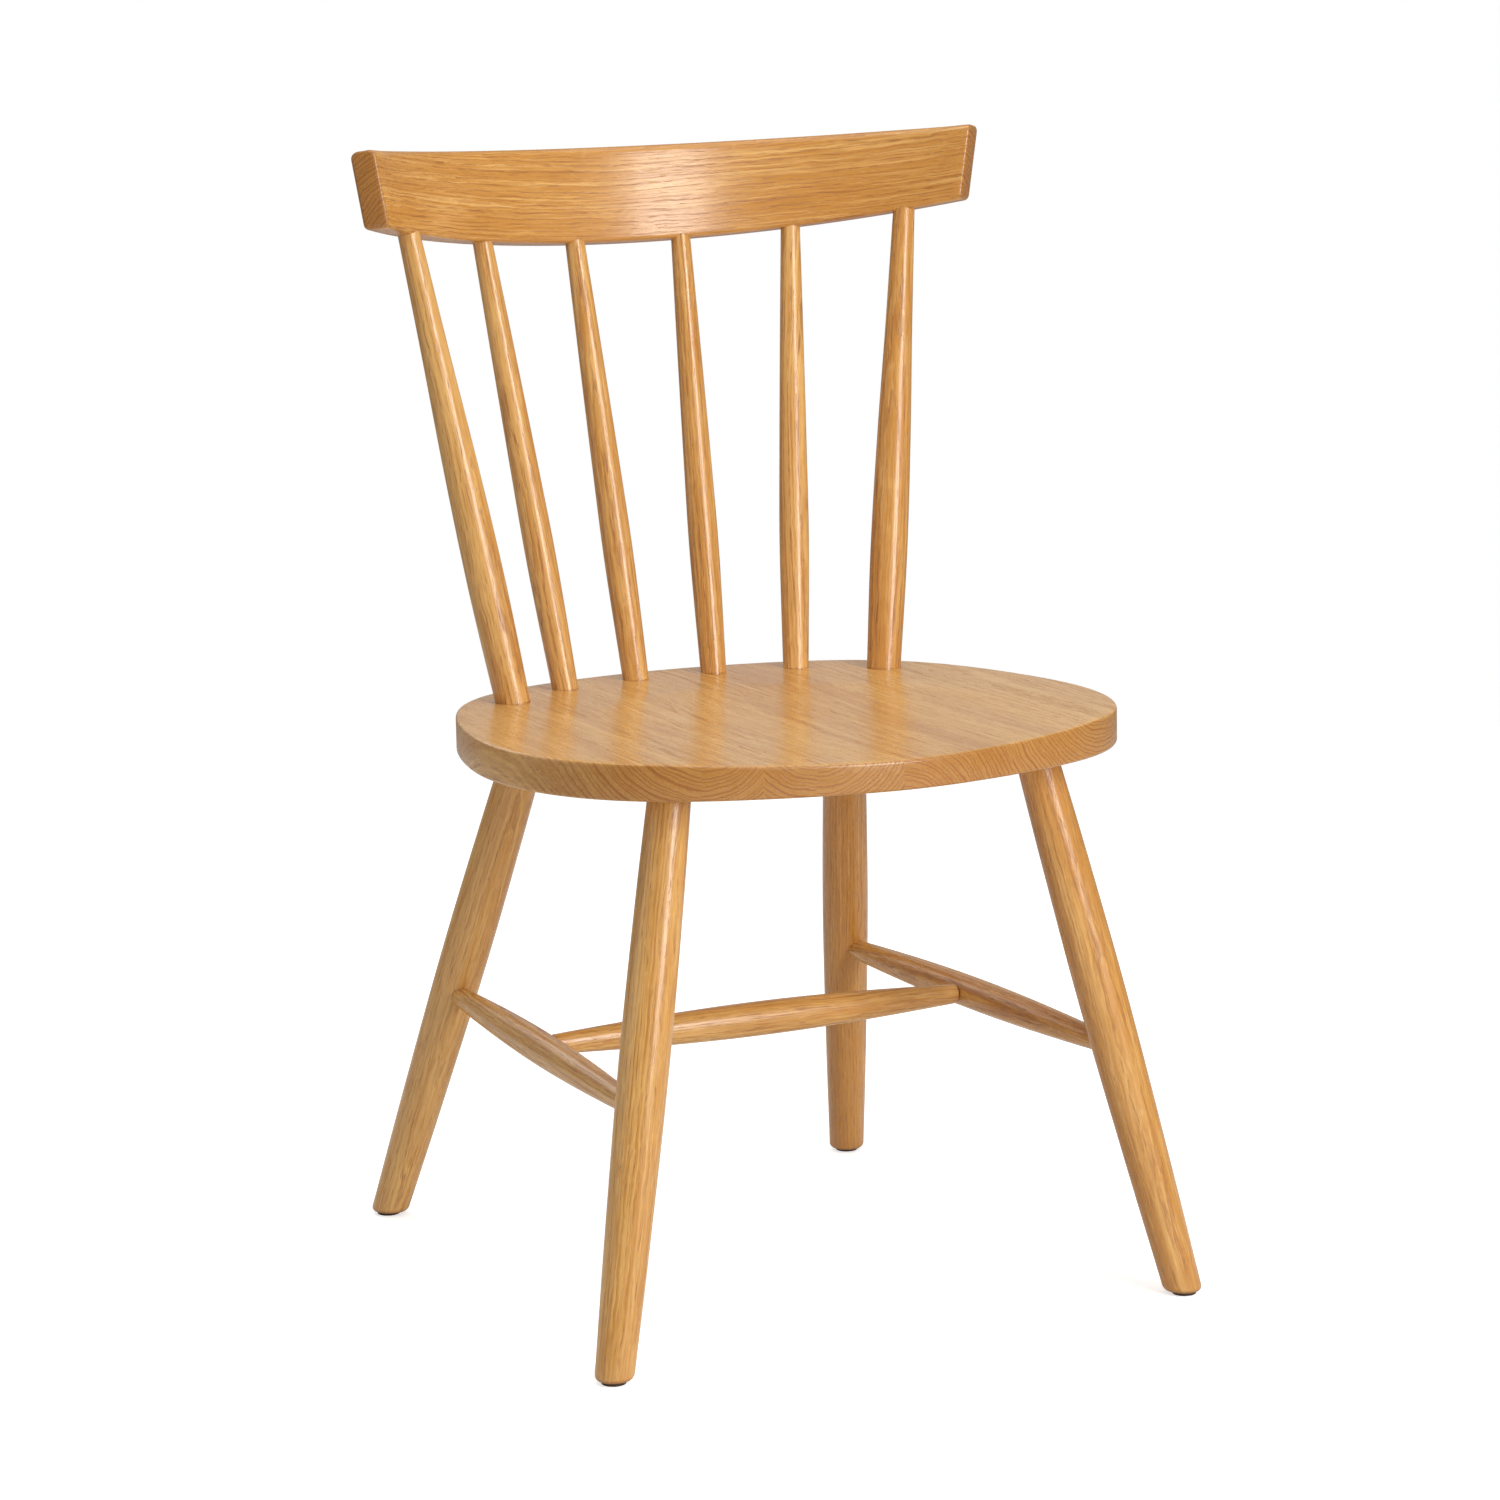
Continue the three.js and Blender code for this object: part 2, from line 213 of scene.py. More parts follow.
class StudioSizes(bpy.types.PropertyGroup):
    """Floor, lights and camera."""

    azimuth: FloatProperty(
        name="Azimuth", description="The camera's bearing about the chair", subtype="ANGLE",
        default=math.radians(-25.436),
    )
    elevation: FloatProperty(
        name="Elevation", description="The camera's height above the horizon", subtype="ANGLE",
        default=math.radians(9.952),
    )
    roll: FloatProperty(
        name="Roll", description="The camera's tilt about its own axis", subtype="ANGLE",
        default=math.radians(-1.0586),
    )
    distance: measure("Distance", "From the camera to its target", 3.9065)
    target: measure("Target", "The point that the camera looks at", (0.00837, 0.0044, 0.4083))
    lens: FloatProperty(name="Lens", description="Focal length in millimetres", default=119.33)
    shift: FloatProperty(name="Shift", description="Sideways shift of the lens", default=-0.00438)
    floor_fade: measure("Floor's fade", "Where the floor starts and ends to fade away", (1.4, 3.2))
    floor_glow: FloatProperty(
        name="Floor's glow", description="Light that shows through the floor's sheet", default=0.62
    )
    surroundings: FloatProperty(
        name="Surroundings", description="Light that comes from all round", default=0.21
    )
    floor_tone: tint("Floor", "Colour of the floor", (0.82, 0.82, 0.82))


GROUPS = {
    "chair_seat": SeatSizes,
    "chair_legs": LegSizes,
    "chair_glides": GlideSizes,
    "chair_back": BackSizes,
    "chair_stretchers": StretcherSizes,
    "chair_rail": RailSizes,
    "chair_oak": OakFinish,
    "chair_studio": StudioSizes,
}


# ---------------------------------------------------------------- bench work


def deselect():
    """Nothing is selected, so that the next operator acts on its own piece alone."""
    bpy.ops.object.select_all(action="DESELECT")


def start_piece(name):
    """Names the primitive that was just added and opens it in edit mode."""
    piece = bpy.context.object
    piece.name = piece.data.name = name
    bpy.ops.object.mode_set(mode="EDIT")
    return piece


def pick(piece, wanted, kind="VERT"):
    """Selects what passes a test: wanted takes a corner's place, or a face for kind FACE."""
    bpy.ops.object.mode_set(mode="EDIT")
    bpy.ops.mesh.select_mode(type=kind)
    bpy.ops.mesh.select_all(action="DESELECT")
    bpy.ops.object.mode_set(mode="OBJECT")
    mesh = piece.data
    if kind == "VERT":
        chosen = [v for v in mesh.vertices if wanted(v.co)]
    elif kind == "EDGE":
        chosen = [e for e in mesh.edges if all(wanted(mesh.vertices[i].co) for i in e.vertices)]
    else:
        chosen = [f for f in mesh.polygons if wanted(f)]
    for item in chosen:
        item.select = True
    if not chosen:
        raise RuntimeError(f"{piece.name}: nothing there to select")
    bpy.ops.object.mode_set(mode="EDIT")


MERGE_DISTANCE = 1e-6
SMOOTH_ANGLE = math.radians(35)


def close_piece():
    """Merges the active piece's doubles, points its faces outwards and shades it."""
    bpy.ops.object.mode_set(mode="EDIT")
    bpy.ops.mesh.reveal(select=False)
    bpy.ops.mesh.select_all(action="SELECT")
    bpy.ops.mesh.remove_doubles(threshold=MERGE_DISTANCE)
    bpy.ops.mesh.normals_make_consistent(inside=False)
    bpy.ops.object.mode_set(mode="OBJECT")
    bpy.ops.object.shade_smooth_by_angle(angle=SMOOTH_ANGLE)


def copy_piece(pattern, name):
    """Copies a piece, with a mesh of its own, and leaves the copy active."""
    deselect()
    pattern.select_set(True)
    bpy.context.view_layer.objects.active = pattern
    bpy.ops.object.duplicate()
    piece = bpy.context.object
    piece.name = piece.data.name = name
    return piece


def place(piece, matrix):
    """Puts a piece where it belongs, with its place in its mesh."""
    bpy.ops.object.mode_set(mode="OBJECT")
    piece.matrix_world = matrix
    bpy.ops.object.transform_apply(location=True, rotation=True, scale=True)


def saw(at, facing):
    """Saws off what lies beyond a plane, on the side that `facing` points to."""
    bpy.ops.object.mode_set(mode="EDIT")
    bpy.ops.mesh.reveal(select=False)
    bpy.ops.mesh.select_all(action="SELECT")
    bpy.ops.mesh.bisect(plane_co=at, plane_no=facing, use_fill=True, clear_outer=True)


def push(way):
    """Extrudes the selected face by a step."""
    bpy.ops.mesh.extrude_region_move(TRANSFORM_OT_translate={"value": way})


def on_side(sign, point):
    """A point of the chair's right half, or its mirror image on the left for a sign of -1."""
    x, y, z = point
    return Vector((sign * x, y, z))


def along(start, end):
    """The placement that turns +Z into the way from start to end."""
    turn = (end - start).to_track_quat("Z", "Y").to_matrix().to_4x4()
    return Matrix.Translation(start) @ turn


def smooth_values(places, values, where):
    """A smooth curve through a few values, read off at `where`."""
    steps = list(zip(places, values))
    last = len(steps) - 2
    i = max(k for k in range(last + 1) if where >= steps[k][0] or k == 0)
    x0, y0 = steps[i]
    x1, y1 = steps[i + 1]

    def slope(k):
        low, high = steps[max(k - 1, 0)], steps[min(k + 1, last + 1)]
        return (high[1] - low[1]) / (high[0] - low[0])

    t = (where - x0) / (x1 - x0)
    h = x1 - x0
    return (
        (2 * t**3 - 3 * t**2 + 1) * y0
        + (t**3 - 2 * t**2 + t) * h * slope(i)
        + (3 * t**2 - 2 * t**3) * y1
        + (t**3 - t**2) * h * slope(i + 1)
    )


TURNING_SIDES = 56


def turn_blank(name, stations):
    """Turns a round piece along +Z: a disc pushed on from station to station and resized."""
    deselect()
    distance, diameter = stations[0]
    bpy.ops.mesh.primitive_circle_add(
        vertices=TURNING_SIDES, radius=diameter / 2, fill_type="NGON", location=(0, 0, distance)
    )
    bpy.ops.object.transform_apply(location=True)
    piece = start_piece(name)
    for following, wider in stations[1:]:
        push((0, 0, following - distance))
        grow = wider / diameter
        bpy.ops.transform.resize(value=(grow, grow, 1), center_override=(0, 0, following))
        distance, diameter = following, wider
    bpy.ops.object.mode_set(mode="OBJECT")
    return piece


# how far apart two readings are taken to tell how squarely the grain is cut
PROBE = 0.0005


def lay_grain(piece, reading, slide, pith, tone, figure=1.0):
    """Stores where each point lies in its own plank, and how squarely the grain is cut there.

    slide moves the plank along its tree and pith gives its place beside the tree's middle, so
    that no two pieces share their rings. tone makes it paler or darker, figure stronger or calmer.
    """
    mesh = piece.data
    offset = Vector((slide, *pith))
    places, cuts = [], []
    for vertex in mesh.vertices:
        here = Vector(reading(vertex.co))
        inwards = Vector(reading(vertex.co - vertex.normal * PROBE))
        places.extend(here + offset)
        cuts.append(min(1.0, abs(here.x - inwards.x) / PROBE))
    mesh.attributes.new("grain", "FLOAT_VECTOR", "POINT").data.foreach_set("vector", places)
    for name, values in (
        ("end_grain", cuts),
        ("tone", [tone] * len(cuts)),
        ("figure", [figure] * len(cuts)),
    ):
        mesh.attributes.new(name, "FLOAT", "POINT").data.foreach_set("value", values)


def straight_grain(start, end, spin):
    """Reads a point in a straight plank whose grain runs from start to end."""
    turned = (along(start, end) @ Matrix.Rotation(spin, 4, "Z")).inverted()

    def reading(point):
        local = turned @ point
        return (local.z, local.x, local.y)

    return reading


def drawn_plank(draws, start, end, farthest, slide, span):
    """A straight plank from anywhere in a tree: its reading, its slide and its pith."""
    reading = straight_grain(start, end, draws.uniform(0, math.tau))
    pith = (draws.uniform(0.03, farthest), draws.uniform(-0.02, 0.02))
    return reading, slide + draws.uniform(0, span), pith


def finish_piece(piece, node, slot):
    """Dresses a piece and lets it stand for its CAD node."""
    piece.data.materials.clear()
    piece.data.materials.append(finish_of(slot))
    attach(piece, BODY)
    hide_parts(node)


# ---------------------------------------------------------------- shader maths


class Sum:
    """A number from a socket. Sums and products of it add Math nodes."""

    def __init__(self, bench, socket):
        self.bench = bench
        self.socket = socket

    def _with(self, operation, first, second=None):
        inputs = {0: first} if second is None else {0: first, 1: second}
        return self.bench.node("ShaderNodeMath", {"operation": operation}, inputs).out(0)

    def __add__(self, other):
        return self._with("ADD", self, other)

    def __sub__(self, other):
        return self._with("SUBTRACT", self, other)

    def __mul__(self, other):
        return self._with("MULTIPLY", self, other)

    def __truediv__(self, other):
        return self._with("DIVIDE", self, other)

    def __rsub__(self, other):
        return self._with("SUBTRACT", other, self)

    def __pow__(self, other):
        return self._with("POWER", self, other)

    __radd__ = __add__
    __rmul__ = __mul__

    def clamp(self):
        return self.bench.node("ShaderNodeClamp", {}, {"Value": self}).out(0)

    def fraction(self):
        return self._with("FRACT", self)

    def root(self):
        return self._with("SQRT", self)

    def turn(self, other):
        """The angle whose tangent is this number over the other."""
        return self._with("ARCTAN2", self, other)

    def ramp(self, low, high):
        """0 at low, 1 at high, with a soft start and stop."""
        settings = {"interpolation_type": "SMOOTHSTEP"}
        return self.bench.node(
            "ShaderNodeMapRange", settings, {"Value": self, "From Min": low, "From Max": high}
        ).out(0)


class Made:
    """A node that was added, for reading its outputs."""

    def __init__(self, bench, node):
        self.bench = bench
        self.node = node

    def out(self, which):
        return Sum(self.bench, self.node.outputs[which])


class Bench:
    """The node tree of a material or of the world."""

    def __init__(self, owner):
        owner.use_nodes = True
        self.owner = owner
        self.tree = owner.node_tree
        self.tree.nodes.clear()

    def node(self, kind, settings, sockets):
        """Adds a node: its settings first, then the values or links of its sockets."""
        node = self.tree.nodes.new(kind)
        for key, value in settings.items():
            setattr(node, key, value)
        for key, value in sockets.items():
            if isinstance(value, Sum):
                self.tree.links.new(value.socket, node.inputs[key])
            else:
                node.inputs[key].default_value = value
        return Made(self, node)

    def attribute(self, name, output="Fac"):
        """What a piece stores under a name."""
        return self.node("ShaderNodeAttribute", {"attribute_name": name}, {}).out(output)

    def vector(self, operation, first, second):
        return self.node(
            "ShaderNodeVectorMath", {"operation": operation}, {0: first, 1: second}
        ).out("Vector")

    def noise(self, vector, scale, detail=2.0, roughness=0.5, colour=False):
        """Noise with a scale for each axis, in waves to the metre."""
        stretched = self.vector("MULTIPLY", vector, scale)
        made = self.node(
            "ShaderNodeTexNoise", {"noise_dimensions": "3D"},
            {"Vector": stretched, "Scale": 1.0, "Detail": detail, "Roughness": roughness},
        )
        return made.out("Color" if colour else "Fac")

    def mix(self, part, first, second):
        """Mixes two colours."""
        made = self.node(
            "ShaderNodeMix", {"data_type": "RGBA"}, {"Factor": part, 6: first, 7: second}
        )
        return made.out(2)

    def bump(self, strength, distance, height):
        """The normal of a surface with a fine relief."""
        sockets = {"Strength": strength, "Distance": distance, "Height": height}
        return self.node("ShaderNodeBump", {}, sockets).out("Normal")

    def camera_ray(self):
        """1 where the surface or the air is looked at, 0 where it only lights something."""
        return self.node("ShaderNodeLightPath", {}, {}).out("Is Camera Ray")

    def surface(self, sockets):
        """Ends the material in a Principled surface."""
        shader = self.node("ShaderNodeBsdfPrincipled", {}, sockets)
        self.node("ShaderNodeOutputMaterial", {}, {"Surface": shader.out("BSDF")})
        return self.owner


def rgba(colour):
    """A colour that hides all behind it."""
    return (*colour, 1.0)


# how the fibres wander: waves to the metre along and across the grain, and how far they reach
WANDERS = (((3.0, 14, 14), 0.014), ((5, 40, 40), 0.0024), ((44, 110, 110), 0.0024))
# a usual distance from the pith, which makes a length of an angle about it
PITH_DISTANCE = 0.05


def oak_material(name):
    """Oak: growth rings about the pith, pores, ray flecks and slow changes of tone.

    `fibre` is a place along the grain and twice across it, and `layer` is the same place along
    the grain, out from the pith and round it, so each noise is long along the grain.
    """
    finish = bpy.context.scene.chair_oak
    bench = Bench(bpy.data.materials.new(name))
    grain = bench.attribute("grain", "Vector")
    tone, figure, end_grain = (bench.attribute(name) for name in ("tone", "figure", "end_grain"))

    # the fibres wander as they run along, in long sweeps and in short ripples
    fibre = grain
    for scale, reach in WANDERS:
        wander = bench.vector("SUBTRACT", bench.noise(grain, scale, colour=True), (0.5, 0.5, 0.5))
        fibre = bench.vector("ADD", fibre, bench.vector("MULTIPLY", wander, (0, reach, reach)))
    parts = bench.node("ShaderNodeSeparateXYZ", {}, {0: fibre})
    run, wide, deep = (parts.out(i) for i in range(3))
    radial = (wide ** 2 + deep ** 2).root()
    round_pith = wide.turn(deep) * PITH_DISTANCE
    layer = bench.node("ShaderNodeCombineXYZ", {}, {0: run, 1: radial, 2: round_pith}).out(0)

    # a ring opens with a band of large pores and closes in dense late wood
    spread = bench.noise(layer, (0.8, 150, 6), detail=1)
    ring = (radial / finish.ring_width + spread * 2.5).fraction()
    early = ring.ramp(0.0, 0.08) * (1 - ring.ramp(0.16, 0.45))
    late = ring.ramp(0.5, 0.95) * (1 - ring.ramp(0.97, 1.0))
    broken = bench.noise(fibre, (28, 620, 620), detail=2, roughness=0.65)
    vessels = early * broken.ramp(0.38, 0.6)
    pore = bench.noise(fibre, (70, 1500, 1500), detail=1).ramp(0.56, 0.66) * (0.35 + 0.65 * early)
    dash = bench.noise(fibre, (34, 820, 820), detail=1).ramp(0.6, 0.7)
    fleck = bench.noise(layer, (130, 120, 1500), detail=1).ramp(0.64, 0.74)

    # tone drifts from board to board, from layer to layer and from fibre to fibre; the stored tone
    # also carries painted shade, darker on the right-hand legs and post
    broad = bench.noise(layer, (1.6, 55, 10), detail=2)
    streak = bench.noise(layer, (6, 520, 60), detail=3, roughness=0.65)
    thread = bench.noise(fibre, (12, 800, 800), detail=2, roughness=0.62)
    cloud = bench.noise(fibre, (14, 120, 120), detail=1)
    drift = (broad - 0.5) * 0.9 + (cloud - 0.5) * 0.7 + (streak - 0.5) * 1.5 + (thread - 0.5) * 1.35
    shade = 0.5 + drift * figure + tone
    body = bench.mix(shade.ramp(0.1, 0.9), rgba(finish.late), rgba(finish.pale))
    body = bench.mix(0.35, body, rgba(finish.honey))

    # across the grain the open ends drink in more lacquer, and the rings show as arcs
    drunk = end_grain.ramp(0.15, 0.8)
    for part, colour in (
        (fleck * 0.2, finish.pale),
        (drunk * 0.7, finish.end),
        (late * figure * 0.3, finish.late),
        (early * drunk * 0.85, finish.dark),
        (vessels * figure * 0.6, finish.dark),
        (dash * figure * 0.35, finish.dark),
        (pore * (0.25 + figure * 0.35), finish.pore),
    ):
        body = bench.mix(part.clamp(), body, rgba(colour))

    relief = 0.5 - pore * 0.4 - vessels * 0.2 + (streak - 0.5) * 0.05
    return bench.surface({
        "Base Color": body,
        "Roughness": finish.lacquer_roughness + pore * 0.15 + vessels * 0.1 + (broad - 0.5) * 0.1,
        "Normal": bench.bump(0.4, 0.0005, relief),
        "Specular IOR Level": 0.55,
        "Coat Weight": 0.12,
        "Coat Roughness": 0.16,
    })


def glide_material(name):
    """Brown moulded plastic, mottled in colour and dullness."""
    bench = Bench(bpy.data.materials.new(name))
    place_on = bench.node("ShaderNodeTexCoord", {}, {}).out("Object")
    mottle = bench.noise(place_on, (900, 900, 900), detail=3)
    return bench.surface({
        "Base Color": bench.mix(mottle, (0.05, 0.028, 0.016, 1), (0.085, 0.05, 0.03, 1)),
        "Roughness": 0.5 + mottle * 0.25,
        "Normal": bench.bump(0.3, 0.0002, mottle),
    })


def floor_material(name):
    """A pale, matt studio floor that fades into the white round it."""
    studio = bpy.context.scene.chair_studio
    tone = studio.floor_tone
    bench = Bench(bpy.data.materials.new(name))
    place_on = bench.node("ShaderNodeTexCoord", {}, {}).out("Object")
    mottle = bench.noise(place_on, (3, 3, 3), detail=2)
    away = bench.node("ShaderNodeVectorMath", {"operation": "LENGTH"}, {0: place_on}).out("Value")
    return bench.surface({
        "Base Color": bench.mix(mottle * 0.15, rgba(tone), rgba([c * 0.97 for c in tone])),
        "Roughness": 0.8,
        "Specular IOR Level": 0.2,
        "Alpha": 1 - away.ramp(*studio.floor_fade),
        "Emission Color": bench.camera_ray(),
        "Emission Strength": studio.floor_glow,
    })


FINISHES = {"oak": ("lacquered_oak", oak_material), "glide": ("glide_plastic", glide_material)}


def finish_of(slot):
    """The finish of a slot, made the first time that it is asked for."""
    name, make = FINISHES[slot]
    return bpy.data.materials.get(name) or make(name)


# ---------------------------------------------------------------- pieces


class ChairOperator(bpy.types.Operator):
    """What the chair's operators have in common."""

    bl_options = {"REGISTER", "UNDO"}


def seat_outline(count):
    """Points round the seat's edge: a smooth closed curve through a few given points."""
    right = [
        (0, -0.2798), (0.1167, -0.2584), (0.1973, -0.2171), (0.2427, -0.15), (0.2535, -0.0613),
        (0.227, 0.0495), (0.1824, 0.119), (0.1102, 0.1576), (0, 0.1729),
    ]
    through = [Vector(p) for p in right]
    through += [Vector((-x, y)) for x, y in reversed(right[1:-1])]
    spans = len(through)
    points = []
    for i in range(count):
        whole, t = divmod(i * spans / count, 1)
        p0, p1, p2, p3 = (through[(int(whole) + k) % spans] for k in (-1, 0, 1, 2))
        points.append(0.5 * (
            2 * p1 + (p2 - p0) * t + (2 * p0 - 5 * p1 + 4 * p2 - p3) * t**2
            + (3 * p1 - p0 - 3 * p2 + p3) * t**3
        ))
    return points


class CHAIR_OT_seat(ChairOperator):
    """Cuts the seat's outline, eases its edges, dishes it and saws it into its four boards"""

    bl_idname = "chair.seat"
    bl_label = "Seat boards"

    # points round the edge, and rings of faces from there in to the middle of the top
    POINTS = 192
    RINGS = 30
    MIDDLE_Y = -0.06
    EASING_SEGMENTS = 5
    # the hollow is pressed in along the seat's middle line, from here to the front edge
    DISH_END = -0.115
    LINE_WIDTH = 0.003
    # further out than any edge of the seat
    OUTSIDE = 1.0
    # each board's tone, the place of its underside beside the pith, and its step along the tree
    TONES = (0.02, 0.1, -0.06, 0.12)
    PITHS = ((0.03, -0.055), (-0.012, -0.05), (-0.05, 0.03), (0.03, -0.085))
    SLIDE = 3.7
    FIGURE = 0.75

    def blank(self, sizes):
        """The whole seat as one slab, with rings of faces on its top for the dish."""
        deselect()
        bpy.ops.mesh.primitive_circle_add(vertices=self.POINTS, fill_type="NGON")
        slab = bpy.context.object
        for vertex, point in zip(slab.data.vertices, seat_outline(self.POINTS)):
            vertex.co = (point.x, point.y, sizes.underside)
        start_piece("seat")
        push((0, 0, sizes.thickness))
        top = sizes.underside + sizes.thickness
        for level in (sizes.underside, top):
            pick(slab, lambda co: abs(co.z - level) < CLOSE, "EDGE")
            bpy.ops.mesh.bevel(
                offset=sizes.easing, segments=self.EASING_SEGMENTS, affect="EDGES"
            )
        pick(slab, lambda face: face.center.z > top - CLOSE, "FACE")
        scale = 1.0
        for ring in range(1, self.RINGS):
            smaller = 1 - ring / self.RINGS
            push((0, 0, 0))
            shrink = smaller / scale
            bpy.ops.transform.resize(
                value=(shrink, shrink, 1), center_override=(0, self.MIDDLE_Y, top)
            )
            scale = smaller
        return slab

    def dish(self, slab, sizes):
        """Presses a soft hollow into the top, that runs out over the front edge."""
        middle = sizes.underside + sizes.thickness / 2
        pick(slab, lambda co: co.z < middle)
        bpy.ops.mesh.hide(unselected=False)
        reach = self.LINE_WIDTH / 2
        pick(slab, lambda co: abs(co.x) < reach and co.y < self.DISH_END and co.z > middle)
        bpy.ops.transform.translate(
            value=(0, 0, -sizes.dish_depth), use_proportional_edit=True,
            proportional_edit_falloff="INVERSE_SQUARE", proportional_size=sizes.dish_reach,
        )

    def execute(self, context):
        sizes = context.scene.chair_seat
        slab = self.blank(sizes)
        self.dish(slab, sizes)
        close_piece()
        edges = [-self.OUTSIDE, *sizes.seams, self.OUTSIDE]
        for i in range(BOARDS):
            node = f"seat_board_{i + 1}"
            board = copy_piece(slab, f"{node}_oak")
            saw((edges[i + 1], 0, 0), (1, 0, 0))
            saw((edges[i], 0, 0), (-1, 0, 0))
            close_piece()
            low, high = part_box(node)
            middle = Vector(((low.x + high.x) / 2, 0, sizes.underside))
            reading = straight_grain(middle, middle + Vector((0, 1, 0)), 0)
            lay_grain(board, reading, i * self.SLIDE, self.PITHS[i], self.TONES[i], self.FIGURE)
            finish_piece(board, node, "oak")
        bpy.data.objects.remove(slab)
        return {"FINISHED"}


def leg_line(sizes, end, side, sign):
    """The axis of a leg, from the floor to the seat's underside."""
    mounts = {m["name"]: m["pos_m"] for m in frame["record"]["mounts"]}
    foot = Vector(mounts[f"{end}_{side}_foot"])
    x, y = sizes.front_top if end == "front" else sizes.back_top
    return foot, Vector((sign * x, y, sizes.heights[4]))


class CHAIR_OT_legs(ChairOperator):
    """Turns the four legs, saws them level and rounds their feet"""

    bl_idname = "chair.legs"
    bl_label = "Legs"

    # stations up a leg; the turning starts at number FIRST and runs on past both ends
    STEPS = 26
    FIRST = 2
    OVERRUN = 0.03
    ROUNDING_SEGMENTS = 5
    # each leg's tone: the right-hand legs, the back right one most, are darker than the left ones as
    # painted shade
    TONES = {
        ("front", "left"): 0.06, ("front", "right"): -0.24,
        ("back", "left"): 0.12, ("back", "right"): -0.38,
    }
    SLIDE = 20
    FIGURE = 0.85

    def blank(self, sizes, length, rise):
        """A leg along +Z that is still too long at both ends."""
        stations = []
        for i in range(self.FIRST, self.STEPS + 1):
            height = rise * i / self.STEPS
            diameter = smooth_values(sizes.heights, sizes.diameters, height)
            stations.append((height * length / rise, diameter))
        lowest, low = stations[0]
        growth = (low - sizes.diameters[0]) / lowest
        stations.insert(0, (-self.OVERRUN, sizes.diameters[0] - growth * self.OVERRUN))
        stations.append((length + self.OVERRUN, sizes.diameters[4]))
        return turn_blank("leg_blank", stations)

    def fit(self, leg, sizes, way, floor, underside):
        """Saws a leg level at the glide and at the seat, rounds its foot and makes its tenon."""
        saw((0, 0, floor), (0, 0, -1))
        saw((0, 0, underside), (0, 0, 1))
        pick(leg, lambda co: abs(co.z - floor) < CLOSE, "EDGE")
        bpy.ops.mesh.bevel(offset=sizes.rounding, segments=self.ROUNDING_SEGMENTS, affect="EDGES")
        pick(leg, lambda face: face.center.z > underside - CLOSE, "FACE")
        width, depth = sizes.tenon
        bpy.ops.mesh.inset(thickness=(sizes.diameters[4] - width) / 2)
        push(way * depth)
        close_piece()

    def execute(self, context):
        sizes = context.scene.chair_legs
        glide = context.scene.chair_glides.thickness
        underside = context.scene.chair_seat.underside
        draws = random.Random(23)
        for end in ENDS:
            foot, top = leg_line(sizes, end, *SIDES[0])
            blank = self.blank(sizes, (top - foot).length, top.z)
            for side, sign in SIDES:
                foot, top = leg_line(sizes, end, side, sign)
                leg = copy_piece(blank, f"{end}_{side}_leg_oak")
                place(leg, along(foot, top))
                self.fit(leg, sizes, (top - foot).normalized(), glide, underside)
                plank = drawn_plank(draws, foot, top, 0.07, self.SLIDE, 9)
                lay_grain(leg, *plank, self.TONES[end, side], self.FIGURE)
                finish_piece(leg, f"{end}_{side}_leg", "oak")
            bpy.data.objects.remove(blank)
        return {"FINISHED"}


class CHAIR_OT_glides(ChairOperator):
    """Moulds a glide for each foot: a flat disc with a rolled edge and a shank"""

    bl_idname = "chair.glides"
    bl_label = "Glides"

    # the shank's diameter and length, and the rolled edge's radius
    SHANK = (0.004, 0.0115)
    EDGE = 0.0007

    def pattern(self, sizes):
        """One glide at the origin, for the others to be copied from."""
        full, thick = sizes.diameter, sizes.thickness
        stations = [(0, full - 2 * self.EDGE), (self.EDGE / 3, full - self.EDGE), (self.EDGE, full)]
        stations += [(thick - self.EDGE / 3, full), (thick, full - self.EDGE / 2)]
        glide = turn_blank("glide", stations)
        width, length = self.SHANK
        bpy.ops.object.mode_set(mode="EDIT")
        bpy.ops.mesh.inset(thickness=(full - width) / 2)
        push((0, 0, length))
        close_piece()
        return glide

    def execute(self, context):
        legs = context.scene.chair_legs
        pattern = self.pattern(context.scene.chair_glides)
        for end in ENDS:
            for side, sign in SIDES:
                foot, _ = leg_line(legs, end, side, sign)
                glide = copy_piece(pattern, f"{end}_{side}_glide_plastic")
                place(glide, Matrix.Translation(foot))
                finish_piece(glide, f"{end}_{side}_glide", "glide")
        bpy.data.objects.remove(pattern)
        return {"FINISHED"}


def barrel_stations(length, ends, middle, first=0.0, last=1.0, steps=30):
    """Stations of a barrel: slim at both ends of its axis and full half-way."""
    stations = []
    for i in range(steps + 1):
        part = first + (last - first) * i / steps
        stations.append((part * length, ends + (middle - ends) * math.sin(math.pi * part)))
    return stations


